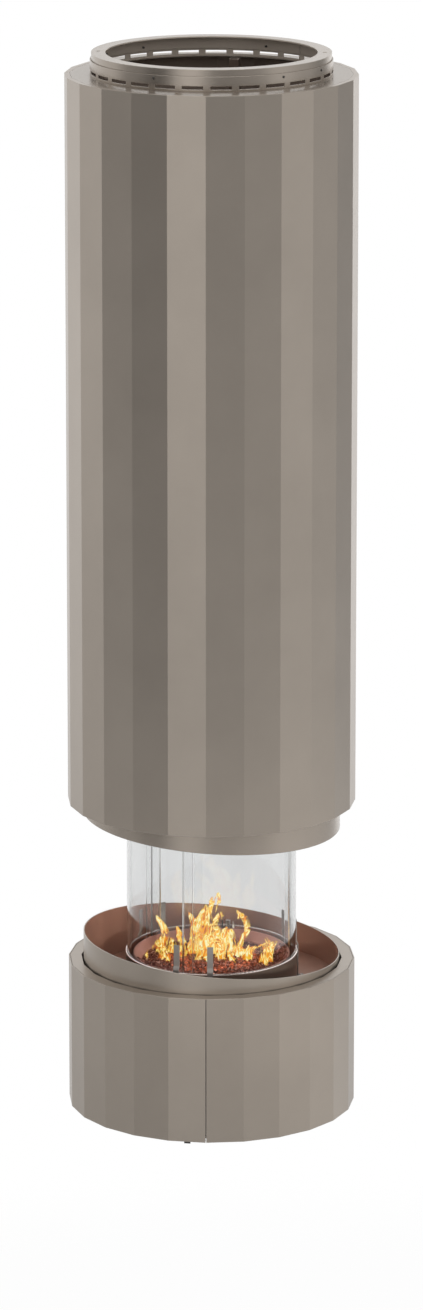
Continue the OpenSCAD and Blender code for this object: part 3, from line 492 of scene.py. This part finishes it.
def screwProfile(s, along, across):                    # radius and place, from the tip to the socket's floor
    top, low, head = along.max(), along.min(), across.max()
    shank = across[along < low + 1e-4].max()           # widest corner of the end face
    shoulder = along[across > head * 0.98].min()       # lowest corner of the head
    high = top - shoulder
    brow = shoulder + high * (1 - s["dome"])
    profile = [(shank * s["tip"], low), (shank, low + s["chamfer"]), (shank, shoulder), (head, shoulder),
               (head, brow)]
    profile += [(head * math.cos(a), brow + high * s["dome"] * math.sin(a)) for a in s["domeTurns"]]
    rim, peak = head * s["socket"], profile[-1][1]
    # a radius below nought marks a ring that is six-sided
    return profile + [(-rim, peak - high * s["lip"]), (-rim, peak - high * s["deep"])]


def hexagon(turn):                                     # reach of a hexagon at an angle, 1 at its corners
    corner = math.pi / 6
    return math.cos(corner) / math.cos((turn + corner) % (2 * corner) - corner)


def makeScrews(s, node, name, finish, upright):  # a new screw in the place of each of the node's
    around = s["around"]
    points, faces = [], []
    for part in screwCorners(node):
        middle = part.mean(axis=0)
        out = np.array((0, 0, 1.0) if upright else (middle[0], middle[1], 0))
        out /= np.linalg.norm(out)
        side = np.cross(out, (1, 0, 0) if upright else (0, 0, 1))
        side /= np.linalg.norm(side)
        third = np.cross(out, side)
        profile = screwProfile(s, part @ out, np.hypot((part - middle) @ side, (part - middle) @ third))
        base = middle - out * (middle @ out)
        start = len(points)
        for away, place in profile:
            for k in range(around):
                turn = math.tau * k / around
                reach = abs(away) * (hexagon(turn) if away < 0 else 1)
                points.append(base + out * place + reach * (side * math.cos(turn) + third * math.sin(turn)))
        last = start + (len(profile) - 1) * around
        faces += tubeFaces(start, len(profile), around)
        faces += [range(start, start + around)[::-1], range(last, last + around)]
    piece = addPiece(name, points, faces, finish, smooth=False)
    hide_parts(node)


def makeRope(s):                                       # the seal under the panes, laid up from three strands
    low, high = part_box("pane_gasket")
    outer, wide, tall = (high.x - low.x) / 2, s["wide"], high.z - low.z
    middle, centre = outer - wide / 2, (high.z + low.z) / 2
    touching = 2 / math.sqrt(3)                        # how far three equal strands stand out, in their radii
    thick = tall / 2 / (1 + touching)
    offset = touching * thick
    steps = s["turns"] * s["perTurn"]
    points, faces = [], []
    for strand in range(3):
        faces += tubeFaces(len(points), steps, s["sides"], closed=True)
        for i in range(steps):
            turn = math.tau * i / steps
            lay = s["turns"] * turn + math.tau * strand / 3
            for k in range(s["sides"]):
                a = math.tau * k / s["sides"]
                away = middle + (offset * math.cos(lay) + thick * math.cos(a)) * wide / tall
                up = offset * math.sin(lay) + thick * math.sin(a)
                points.append((away * math.cos(turn), away * math.sin(turn), centre + up))
    rope = addPiece("sealRope", points, faces, finishes["rope"])
    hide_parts("pane_gasket")


makeScrews(screwSet, "vent_ring_screws", "collarScrews", finishes["darkSteel"], False)
makeScrews(screwSet, "clip_screws", "clipScrews", finishes["stainless"], True)
makeRope(ropeSet)
print("screws and seal made")

# The stones wind outward over the bed, and the spilled ones lie up the pan's slope between two angles in
# degrees, not at the back and left. They glow, a painted light of the flames on them, most at glowAt from
# the axis.
lavaSet = {"count": 3600, "jitter": 0.05, "spill": 900, "spillFrom": -172, "spillTo": 32, "spillEase": 6,
           "size": 0.0029, "spread": 0.0010, "margin": 0.001, "crown": 0.005, "sink": 0.00264,
           "slopeRise": 0.0165, "slopeWidth": 0.0165, "slopeStand": 0.9, "glowAt": 0.07, "glowWidth": 0.05,
           "seed": 7}
stoneSet = {"jagged": 0.24, "squash": (0.75, 1.25), "lean": 0.7}
gritSet = {"rings": 30, "around": 120, "bury": 0.0042, "ruffle": 0.0009, "tone": 0.1}
lavaLook = {
    "grain": 0.0007, "drift": 200.0, "rough": 0.70, "roughSpread": 0.3, "bump": 0.8, "bumpDepth": 0.0005,
    "tones": [(0.0, (0.07, 0.020, 0.017)), (0.4, (0.23, 0.062, 0.050)), (0.75, (0.46, 0.160, 0.125)),
              (1.0, (0.78, 0.47, 0.39))],
    "pores": (0.05, 0.018, 0.015), "poreShare": 0.4, "glow": [(0.45, (0, 0, 0)), (1.0, (0.60, 0.12, 0.03))],
    "glowStrength": 1.2}


def lavaFinish(s):
    material, tree, shader, _ = newFinish("lavaStone", Emission_Strength=s["glowStrength"])
    tone = put(tree, "Attribute", attribute_name="tone").outputs["Fac"]
    # The glow is painted light of the flames on the stones near them.
    glow = put(tree, "Attribute", attribute_name="glow").outputs["Fac"]
    grain = useGroup(tree, fineGrain, Size=s["grain"], Drift=s["drift"])
    pores = calc(tree, "MULTIPLY", grain["Tone"], s["poreShare"])
    wire(tree, shader, Base_Color=mixColour(tree, pores, ramp(tree, tone, s["tones"]), s["pores"]),
         Emission_Color=ramp(tree, glow, s["glow"]), Roughness=roughFrom(tree, grain["Height"], s),
         Normal=bumpFrom(tree, grain["Height"], s))
    return material


def icosahedron():
    g = (1 + 5 ** 0.5) / 2
    points = [(-1, g, 0), (1, g, 0), (-1, -g, 0), (1, -g, 0), (0, -1, g), (0, 1, g), (0, -1, -g), (0, 1, -g),
              (g, 0, -1), (g, 0, 1), (-g, 0, -1), (-g, 0, 1)]
    faces = [(0, 11, 5), (0, 5, 1), (0, 1, 7), (0, 7, 10), (0, 10, 11), (1, 5, 9), (5, 11, 4), (11, 10, 2),
             (10, 7, 6), (7, 1, 8), (3, 9, 4), (3, 4, 2), (3, 2, 6), (3, 6, 8), (3, 8, 9), (4, 9, 5),
             (2, 4, 11), (6, 2, 10), (8, 6, 7), (9, 8, 1)]
    return np.array(points) / math.sqrt(1 + g * g), faces


def placeStones(s, reach, draw):                       # each stone's distance from the axis and its angle
    golden = math.pi * (3 - 5 ** 0.5)
    spots = [(reach * math.sqrt((i + 0.5) / s["count"]), golden * i + draw.normal(0, s["jitter"]))
             for i in range(s["count"])]
    first, last = math.radians(s["spillFrom"]), math.radians(s["spillTo"])
    for _ in range(s["spill"]):
        turn = draw.uniform(first, last)
        spread = min(1, s["spillEase"] * min(turn - first, last - turn))
        spots.append((reach + s["slopeWidth"] * spread * draw.uniform(0, 1), turn))
    return spots


def makeStone(s, ball, size, draw):                    # a ball made jagged, squashed, spun and tipped
    jags = 1 + draw.uniform(-s["jagged"], s["jagged"], (len(ball), 1))
    shape = ball * jags * draw.uniform(*s["squash"], 3) * size
    spin, lean = draw.uniform(0, math.tau), draw.uniform(-s["lean"], s["lean"])
    turned = shape @ np.array([[math.cos(spin), -math.sin(spin), 0], [math.sin(spin), math.cos(spin), 0],
                               [0, 0, 1]])
    return turned @ np.array([[1, 0, 0], [0, math.cos(lean), -math.sin(lean)],
                              [0, math.sin(lean), math.cos(lean)]])


def makeGrit(s, reach, crown, rimTop, draw):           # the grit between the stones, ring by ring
    turns = [math.tau * k / s["around"] for k in range(s["around"])]
    grit = [(0, 0, rimTop + crown - s["bury"])]
    for ring in range(1, s["rings"] + 1):
        away = reach * ring / s["rings"]
        height = rimTop + crown * math.cos(math.pi / 2 * ring / s["rings"]) - s["bury"]
        grit += [(away * math.cos(t), away * math.sin(t), height + draw.uniform(-1, 1) * s["ruffle"])
                 for t in turns]
    return np.array(grit)


def makeLava(s, g):
    low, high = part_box("lava_bed")
    reach = (high.x - low.x) / 2 - s["margin"]
    rimTop = high.z - s["crown"]
    draw = np.random.default_rng(s["seed"])
    ball, ballFaces = icosahedron()
    corners = len(ball)
    points, faces, tones, glows = [], [], [], []
    for away, turn in placeStones(s, reach, draw):
        size = s["size"] + draw.uniform(-1, 1) * s["spread"]
        crown = s["crown"] * math.cos(math.pi / 2 * min(1, away / reach))
        climb = s["slopeRise"] * max(0, away - reach) / s["slopeWidth"]
        stand = size * s["slopeStand"] if away > reach else 0
        top = rimTop + crown + climb - draw.uniform(0, s["sink"]) + stand
        centre = np.array([away * math.cos(turn), away * math.sin(turn), top - size])
        start = corners * len(points)
        points.append(makeStone(stoneSet, ball, size, draw) + centre)
        faces += [(a + start, b + start, c + start) for a, b, c in ballFaces]
        tones += [draw.uniform(0, 1)] * corners
        # Stones near glowAt glow at random strengths, a painted light of the flames.
        glows += [draw.uniform(0, 1) * math.exp(-((away - s["glowAt"]) / s["glowWidth"]) ** 2)] * corners
    faces += discFaces(corners * len(points), g["rings"], g["around"])
    grit = makeGrit(g, reach, s["crown"], rimTop, draw)
    tones += [g["tone"]] * len(grit)
    glows += [0.0] * len(grit)
    bed = addPiece("lavaStones", np.vstack([*points, grit]), faces, lavaFinish(lavaLook),
                   smooth=False, tones={"tone": tones, "glow": glows})
    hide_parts("lava_bed")


makeLava(lavaSet, gritSet)
print("lava stones laid")

# A tongue is a few crossed sheets that sway and twist on their way up. Its core fades to its sides and tip.
flameSet = {"steps": 40, "across": 14, "sheets": 2, "curl": 0.28, "sway": 0.0035, "swayTurns": 7,
            "twist": 0.4, "twistTurns": 3, "bedSink": 0.006, "sideFall": 2.2, "core": 0.94, "cooling": 0.40,
            "foot": 0.35, "footRise": 6, "seed": 11}
# Of each tongue its foot on the bed, then its spine and its widths from foot to tip, in millimetres.
tongues = [
    {"foot": (-105, 32), "spine": [(0, 0), (-3, 20), (7, 40), (0, 60), (-12, 84)],
     "width": [46, 40, 20, 24, 4]},
    {"foot": (-88, 26), "spine": [(0, 0), (4, 18), (2, 38)], "width": [46, 38, 8]},
    {"foot": (-66, 38), "spine": [(0, 0), (2, 22), (-4, 42), (-8, 58)], "width": [36, 28, 18, 4]},
    {"foot": (-40, 22), "spine": [(0, 0), (-4, 18), (2, 36)], "width": [40, 28, 6]},
    {"foot": (-16, 18), "spine": [(0, 0), (-4, 30), (-6, 60), (6, 92), (22, 122), (30, 140)],
     "width": [60, 56, 48, 36, 28, 4]},
    {"foot": (-28, 34), "spine": [(0, 0), (-4, 40), (-8, 70), (-22, 92)], "width": [38, 34, 24, 4]},
    {"foot": (6, 30), "spine": [(0, 0), (2, 40), (0, 70), (12, 86), (20, 98)], "width": [38, 34, 22, 20, 4]},
    {"foot": (30, 34), "spine": [(0, 0), (0, 24), (4, 46), (0, 60)], "width": [56, 54, 42, 12]},
    {"foot": (52, 44), "spine": [(0, 0), (10, 28), (20, 48), (16, 70), (2, 94)],
     "width": [32, 20, 16, 30, 6]},
    {"foot": (68, 8), "spine": [(0, 0), (6, 14), (24, 24), (46, 34)], "width": [36, 32, 20, 4]},
    {"foot": (54, 14), "spine": [(0, 0), (2, 16), (-2, 34)], "width": [38, 28, 6]},
    {"foot": (112, -26), "spine": [(0, 0), (4, 22), (6, 40), (-4, 62)], "width": [42, 40, 30, 4]},
    {"foot": (116, -22), "spine": [(0, 0), (4, 24), (12, 42), (26, 50)], "width": [30, 26, 18, 4]},
    {"foot": (-134, -8), "spine": [(0, 0), (-2, 10), (1, 20)], "width": [9, 8, 3]},
    {"foot": (-92, -24), "spine": [(0, 0), (2, 12), (-1, 24)], "width": [13, 11, 3]},
    {"foot": (-104, -6), "spine": [(0, 0), (3, 16), (8, 30)], "width": [20, 18, 6]},
    {"foot": (-62, 2), "spine": [(0, 0), (3, 16), (-2, 34)], "width": [22, 20, 5]},
    {"foot": (-26, -20), "spine": [(0, 0), (5, 18), (2, 40)], "width": [22, 24, 8]},
    {"foot": (-4, -28), "spine": [(0, 0), (-3, 20), (4, 46)], "width": [16, 24, 8]},
    {"foot": (22, -16), "spine": [(0, 0), (-4, 18), (3, 42)], "width": [22, 28, 8]},
    {"foot": (50, -20), "spine": [(0, 0), (-8, 10), (-16, 26)], "width": [20, 14, 4]},
    {"foot": (76, -12), "spine": [(0, 0), (-2, 14), (4, 34)], "width": [20, 20, 5]},
]
flameLook = {"stretch": (1, 1, 0.42), "licks": {"Scale": 34.0, "Detail": 3.0, "Distortion": 1.9},
             "swirls": {"Scale": 44.0, "Detail": 1.5, "Distortion": 2.6}, "threadFall": 9.0, "tear": 4.7,
             "tearRise": 1.8, "threadBody": 0.42, "threadWarmth": 0.52, "bodyWarmth": 0.34, "strength": 1.15,
             "colours": [(0.06, (0.58, 0.09, 0.015)), (0.24, (0.92, 0.27, 0.03)), (0.42, (1.0, 0.47, 0.04)),
                         (0.60, (1.0, 0.66, 0.07)), (0.90, (1.0, 0.95, 0.55))],
             "veil": [(0.30, grey(0)), (0.52, grey(0.6)), (0.95, grey(1))]}


def flameFinish(s):                                    # light threads in a torn body, more torn to the tip
    material, tree, shader, _ = newFinish("flame", Base_Color=(0, 0, 0, 1), Roughness=1.0,
                                          Specular_IOR_Level=0.0, Emission_Strength=s["strength"])
    core = put(tree, "Attribute", attribute_name="core").outputs["Fac"]
    rise = put(tree, "Attribute", attribute_name="rise").outputs["Fac"]
    drawn = scaledPlace(tree, s["stretch"])
    licks, swirls = noise(tree, drawn, **s["licks"]), noise(tree, drawn, **s["swirls"])
    swing = calc(tree, "ABSOLUTE", calc(tree, "SUBTRACT", swirls, 0.5))
    thread = calc(tree, "MULTIPLY_ADD", swing, -s["threadFall"], 1.0, clamp=True)
    torn = calc(tree, "MULTIPLY", calc(tree, "SUBTRACT", licks, 0.5),
                calc(tree, "MULTIPLY_ADD", rise, s["tearRise"], s["tear"]))
    body = calc(tree, "MULTIPLY_ADD", thread, s["threadBody"], calc(tree, "ADD", core, torn))
    warm = calc(tree, "MULTIPLY", body, s["bodyWarmth"])
    warmth = calc(tree, "MULTIPLY_ADD", thread, s["threadWarmth"], warm, clamp=True)
    wire(tree, shader, Emission_Color=ramp(tree, warmth, s["colours"]),
         Alpha=ramp(tree, body, s["veil"], smooth=True))
    return material


def smoothPath(points, t):                             # Catmull-Rom through the points, t from 0 to 1
    points = [np.array(p, float) for p in points]
    longer = [2 * points[0] - points[1], *points, 2 * points[-1] - points[-2]]
    whole = t * (len(points) - 1)
    i = min(int(whole), len(points) - 2)
    f = whole - i
    a, b, c, d = longer[i:i + 4]
    square, cube = 2 * a - 5 * b + 4 * c - d, 3 * b - 3 * c + d - a
    return 0.5 * (2 * b + (c - a) * f + square * f ** 2 + cube * f ** 3)


def makeFlames(s):
    draw = random.Random(s["seed"])
    points, faces, cores, rises = [], [], [], []
    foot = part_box("lava_bed")[1].z - s["bedSink"]
    row = s["across"] + 1
    for tongue in tongues:
        x, y = (length / 1000 for length in tongue["foot"])
        phase = draw.uniform(0, math.tau)
        for sheet in range(s["sheets"]):
            start = len(points)
            for i in range(s["steps"] + 1):
                t = i / s["steps"]
                side, up = smoothPath(tongue["spine"], t) / 1000
                wide = float(smoothPath([(w,) for w in tongue["width"]], t)[0]) / 2000
                sway = s["sway"] * math.sin(phase + s["swayTurns"] * t) * t
                turn = math.pi * sheet / s["sheets"] + s["twist"] * math.sin(phase + s["twistTurns"] * t)
                cos, sin = math.cos(turn), math.sin(turn)
                fade = (s["core"] - s["cooling"] * t) * min(1, s["foot"] + s["footRise"] * t)
                for j in range(row):
                    u = 2 * j / s["across"] - 1
                    bow = s["curl"] * wide * (1 - u * u)
                    points.append((x + side + u * wide * cos - bow * sin,
                                   y + sway + u * wide * sin + bow * cos, foot + up))
                    cores.append((1 - abs(u) ** s["sideFall"]) * fade)
                    rises.append(t)
            faces += [(a + j, a + j + 1, a + row + j + 1, a + row + j)
                      for a in range(start, start + s["steps"] * row, row) for j in range(s["across"])]
    addPiece("flames", points, faces, flameFinish(flameLook),
             tones={"core": cores, "rise": rises})


makeFlames(flameSet)
print("flames lit")

# What gloss sees of the studio: degrees from the camera's side, positive to the right, then the level
# straight across and the level towards the floor. White stands behind the object, grey cards round it.
# The levels were not chosen by hand: a program fitted them to the shades of the facets.
cards = [(-139, 1.00, 0.51), (-109, 0.86, 0.39), (-79, 0.32, 0.61), (-49, 0.02, 0.58),
         (-19, 1.14, 0.23), (11, 0.23, 0.65), (41, 0.35, 0.71), (71, 0.80, 0.64),
         (101, 0.56, 0.85), (131, 0.30, 0.99), (161, 1.22, 0.63)]
# A card keeps its level for cardHalf degrees to either side. belowCards and aboveCards are the spans of the
# gaze's upward part in which the floor's, the cards' and the overhead level give way to each other.
worldSet = {"around": 0.7, "overhead": 0.9, "cardHalf": 7, "belowCards": (-0.32, -0.24),
            "aboveCards": (0.1, 0.5)}
floorSet = {"radius": 1.5, "fade": 0.9, "rings": 3, "around": 96, "z": -2.9, "colour": 0.80, "drift": 0.02,
            "cloud": 3.0, "glow": 0.96}
lamps = {
    "topLamp": {"place": (0.6, -1.2, 3.4), "aim": (0, 0, -1), "size": (3.0, 3.0), "watts": 36,
                "colour": (1, 1, 1), "spread": 180, "glossy": True},
    "bowlLamp": {"place": (1.4, -4.0, -1.15), "aim": (0, 0, -1.9), "size": (0.5, 0.3), "watts": 0.9,
                 "colour": (1, 0.94, 0.88), "spread": 14, "glossy": False},
}


def seenStraight(tree):                                # 1 for the camera's rays and those that passed glass
    rays = put(tree, "LightPath").outputs
    return calc(tree, "MAXIMUM", rays["Is Camera Ray"], rays["Is Transmission Ray"])


def makeWorld(s):
    world = bpy.data.worlds.new("studio")
    world.use_nodes = True
    tree = world.node_tree
    tree.nodes.clear()
    toward = put(tree, "SeparateXYZ", {0: put(tree, "TexCoord").outputs["Generated"]}).outputs
    turn = calc(tree, "ARCTAN2", toward["X"], calc(tree, "MULTIPLY", toward["Y"], -1.0))
    place = calc(tree, "MULTIPLY_ADD", turn, 1 / math.tau, 0.5)
    half = s["cardHalf"]
    sides = [(0.5 + (card[0] + side) / 360, card) for card in cards for side in (-half, half)]
    across, downward = (ramp(tree, place, [(0, grey(1)), *((spot, grey(card[level])) for spot, card in sides),
                                           (1, grey(1))]) for level in (1, 2))
    mirrored = mixColour(tree, remap(tree, toward["Z"], *s["belowCards"]), downward, across)
    mirrored = mixColour(tree, remap(tree, toward["Z"], *s["aboveCards"]), mirrored, grey(s["overhead"]))
    glossy = put(tree, "LightPath").outputs["Is Glossy Ray"]
    colour = mixColour(tree, glossy, grey(s["around"]), mirrored)
    colour = mixColour(tree, seenStraight(tree), colour, grey(1))
    background = put(tree, "Background", {"Color": colour, "Strength": 1.0})
    put(tree, "OutputWorld", {"Surface": background.outputs[0]})
    scene.world = world


def floorFinish(s):                                    # white to the camera, gone at its rim and from below
    material, tree, shader, out = newFinish("paleFloor", Roughness=0.9, Specular_IOR_Level=0.1)
    away = put(tree, "VectorMath", {0: scaledPlace(tree, (1, 1, 0))}, operation="LENGTH").outputs["Value"]
    cloud = noise(tree, objectPlace(tree), Scale=s["cloud"])
    wire(tree, shader, Base_Color=twoTone(tree, cloud, {"dark": grey(s["colour"]),
                                                        "light": grey(s["colour"] + s["drift"])}))
    glow = put(tree, "Emission", {"Color": (1, 1, 1, 1), "Strength": 1.0})
    share = calc(tree, "MULTIPLY", seenStraight(tree), s["glow"])
    lit = put(tree, "MixShader", {0: share, 1: shader.outputs[0], 2: glow.outputs[0]})
    behind = put(tree, "NewGeometry").outputs["Backfacing"]
    gone = calc(tree, "MAXIMUM", remap(tree, away, s["fade"], s["radius"]), behind)
    final = put(tree, "MixShader", {0: gone, 1: lit.outputs[0], 2: put(tree, "BsdfTransparent").outputs[0]})
    tree.links.new(final.outputs[0], out.inputs["Surface"])
    return material


def makeFloor(s):
    turns = [math.tau * k / s["around"] for k in range(s["around"])]
    points = [(0, 0, s["z"])]
    for ring in range(1, s["rings"] + 1):
        away = s["radius"] * ring / s["rings"]
        points += [(away * math.cos(t), away * math.sin(t), s["z"]) for t in turns]
    mesh = bpy.data.meshes.new("floor")
    mesh.from_pydata(points, [], discFaces(0, s["rings"], s["around"]))
    mesh.materials.append(floorFinish(s))
    floor = bpy.data.objects.new("floor", mesh)
    scene.collection.objects.link(floor)


def makeLamp(name, s):
    data = bpy.data.lights.new(name, "AREA")
    data.shape = "RECTANGLE"
    data.size, data.size_y = s["size"]
    data.energy = s["watts"]
    data.color = s["colour"]
    data.spread = math.radians(s["spread"])
    lamp = bpy.data.objects.new(name, data)
    lamp.location = s["place"]
    lamp.visible_glossy = s["glossy"]
    lamp.rotation_euler = (Vector(s["aim"]) - Vector(s["place"])).to_track_quat("-Z", "Y").to_euler()
    scene.collection.objects.link(lamp)


makeWorld(worldSet)
makeFloor(floorSet)
for name, lamp in lamps.items():
    makeLamp(name, lamp)
print("studio lit")
